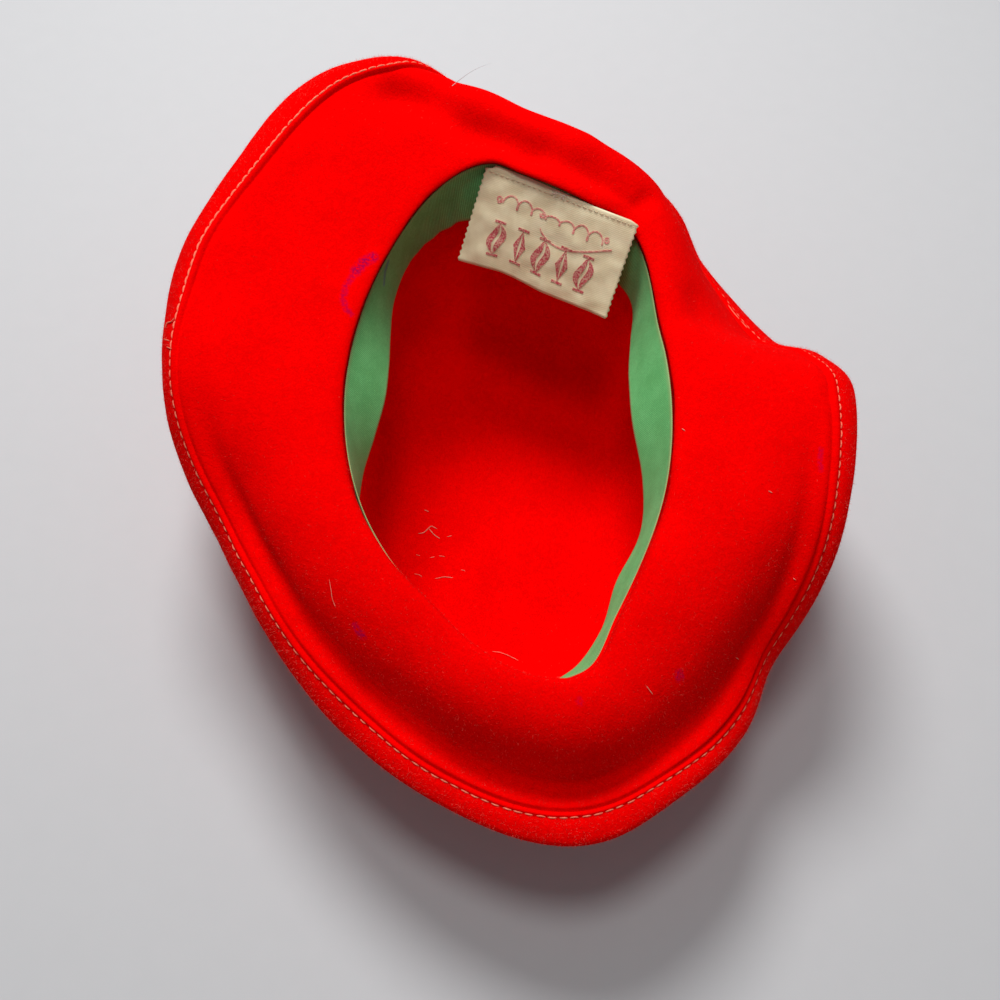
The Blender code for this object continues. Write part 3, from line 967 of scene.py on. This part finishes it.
def buildPattern():
    points, faces, sizes = [], [], []
    for patch in [lineStrip(path, 0.00065, 0.00020) for path in scrollPaths()] + [
            labelStrip(lines, 0.00022) for lines in motifPatches()]:
        first = sum(len(p) for p in points)
        points.append(patch[0])
        faces += [[first + k for k in face] for face in patch[1]]
        sizes.append(len(patch[1]))
    thin = Shading("patternPale", 0.6, label["pinkLight"], specular=0.3)
    bold = Shading("patternPink", 0.6, label["pink"], specular=0.3)
    for skin, tone in ((thin, label["pinkLight"]), (bold, label["pink"])):
        grain = skin.span(skin.noise(1500.0, 2.0), 0.38, 0.66)
        worn = tuple(0.55 * value + 0.45 * cream for value, cream in zip(tone, label["cream"]))
        skin.use("Base Color", skin.mix(grain, (*tone, 1.0), (*worn, 1.0)))
        skin.bump(grain, 0.5, 0.0001)
    made = addMesh("label_pattern", np.concatenate(points), faces, [thin.material, bold.material], smooth=False)
    scrolls = sum(sizes[: len(scrollPaths())])
    made.data.polygons.foreach_set("material_index", [int(k >= scrolls) for k in range(len(faces))])
    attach(made, "root")
    return made


def labelStitches():
    tubes = []
    for k in range(26):
        share = np.linspace(0, 1, 5)
        alongs = -0.475 + 0.95 * (k + 0.72 * share) / 26
        pairs = [labelFace(along, 0.042) for along in alongs]
        place, normal = np.array([p for p, _ in pairs]), np.array([n for _, n in pairs])
        arch = np.sin(math.pi * share) ** 0.6
        lifted = place + normal * (arch * 0.0003 - 0.0001)[:, None]
        tubes.append(tubePoints(lifted, normal, 0.00014 * (0.7 + 0.3 * arch), 5))
    made = addTubes("label_stitches", tubes, 5, threadMaterial("labelThread", (0.88, 0.78, 0.58), (0.75, 0.58, 0.36)))
    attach(made, "root")
    return made


clothLabel = buildLabel()
labelExtras = [buildPattern(), labelStitches()]
print("label built")

# ---- lint, hairs and thread ends that lie on the hat

# by points of the picture: path, half width, lift above the felt
threadEnds = (
    (((176, 318), (172, 322), (168, 323), (166, 328)), 0.00024, 0.0004),
    (((164, 339), (170, 341)), 0.00020, 0.0002),
    (((167, 347), (172, 349)), 0.00020, 0.0002),
    (((728, 305), (733, 312), (739, 319)), 0.00020, 0.0001),
    (((741, 321), (747, 328)), 0.00018, 0.0001),
)
lintHairs = (
    (((330, 579), (332, 590), (333, 598), (336, 606)), 0.00007, 0.0006),
    (((492, 652), (500, 653), (508, 656), (518, 661)), 0.00011, 0.0007),
    (((646, 686), (649, 690), (652, 694)), 0.00011, 0.0005),
    (((418, 534), (424, 533), (431, 526), (437, 529)), 0.00016, 0.0003),
    (((429, 529), (434, 535), (440, 539)), 0.00018, 0.0003),
    (((447, 537), (452, 536)), 0.00013, 0.0003),
    (((435, 579), (444, 577), (453, 578)), 0.00013, 0.0003),
    (((430, 558), (435, 557)), 0.00010, 0.0003),
    (((439, 556), (445, 557)), 0.00010, 0.0003),
    (((414, 574), (419, 575), (422, 577)), 0.00010, 0.0003),
    (((416, 555), (420, 556)), 0.00010, 0.0003),
    (((461, 570), (465, 571)), 0.00010, 0.0003),
    (((424, 510), (429, 512)), 0.00015, 0.0003),
    (((682, 429), (685, 431)), 0.00014, 0.0003),
    (((768, 491), (772, 493)), 0.00014, 0.0003),
    (((735, 657), (738, 659)), 0.00012, 0.0003),
    (((793, 578), (796, 580)), 0.00012, 0.0003),
)


def hairTube(tree, path, radius, lift):
    points = np.array([pointOn(tree, x, y, lift) for x, y in path])
    share = np.linspace(0, len(points) - 1, 4 * len(points))
    line = np.stack([np.interp(share, range(len(points)), points[:, k]) for k in range(3)], 1)
    line[1:-1] = (line[:-2] + 2 * line[1:-1] + line[2:]) / 4
    start, end = np.zeros(3), np.zeros(3)
    normals = np.tile(np.array([0.05, -0.2, 0.97]), (len(line), 1))
    taper = np.clip(np.minimum(share, share[-1] - share) * 2 + 0.45, 0, 1)
    return tubePoints(line, normals, radius * taper, 5)


def buildLint():
    ends = addTubes("thread_ends", [hairTube(feltTree, *each) for each in threadEnds], 5,
                    bpy.data.materials["hemThread"])
    hairs = addTubes("lint_hairs", [hairTube(feltTree, *each) for each in lintHairs], 5,
                     threadMaterial("lintPale", (0.80, 0.42, 0.30), (0.62, 0.20, 0.12)))
    # the stray fibre that stands out past the far edge
    root = np.array(pointOn(feltTree, 452, 86))
    start, way = photoRay(491, 63)
    reach = (Vector(root) - start).length
    tip = np.array(start + way * (reach + 0.002))
    share = np.linspace(0, 1, 12)
    line = root + (tip - root) * share[:, None] + np.array([0, 0, 0.0016]) * np.sin(math.pi * share)[:, None]
    strayTube = tubePoints(line, np.tile([0.3, -0.5, 0.8], (12, 1)), 0.00013 * (1.15 - share), 5)
    stray = addTubes("stray_fibre", [strayTube], 5, threadMaterial("strayGrey", (0.62, 0.60, 0.60), (0.4, 0.38, 0.38)))
    # a tuft of white lint on the label's top edge
    tuft = []
    for _ in range(46):
        along = -0.01 + 0.055 * dice.uniform(-1, 1) * 0.9
        place, normal = labelFace(along, 0.0 + 0.03 * dice.random())
        bend = unit(dice.normal(size=3) * np.array([1.0, 0.6, 0.6]))
        s = np.linspace(0, 1, 6)
        reach = 0.0022 * dice.uniform(0.5, 1.0)
        line = (place + normal * 0.0003 + bend * reach * s[:, None]
                + unit(dice.normal(size=3)) * 0.0007 * np.sin(math.pi * s)[:, None])
        tuft.append(tubePoints(line, np.tile([0.31, -0.48, 0.82], (6, 1)), np.full(6, 0.00006), 3))
    lint = addTubes("label_lint", tuft, 3, threadMaterial("lintWhite", (0.85, 0.80, 0.74), (0.7, 0.6, 0.5)))
    for made, slot in ((ends, "red_felt"), (hairs, "red_felt"), (stray, "red_felt"), (lint, "woven_label")):
        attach(made, "root")


buildLint()
print("lint built")

# ---- floor


def buildFloor():
    skin = Shading("floorPale", 0.75, studio["floorTone"][:3], specular=0.2)
    grain = skin.noise(90.0, 4.0)
    low = tuple(0.97 * value for value in studio["floorTone"][:3])
    skin.use("Base Color", skin.mix(grain, (*low, 1.0), studio["floorTone"]))
    half = 6.0
    floor = addMesh("floor", [(-half, -half, -0.0003), (half, -half, -0.0003), (half, half, -0.0003),
                              (-half, half, -0.0003)], [(0, 1, 2, 3)], [skin.material], smooth=False)


buildFloor()
print("floor built")
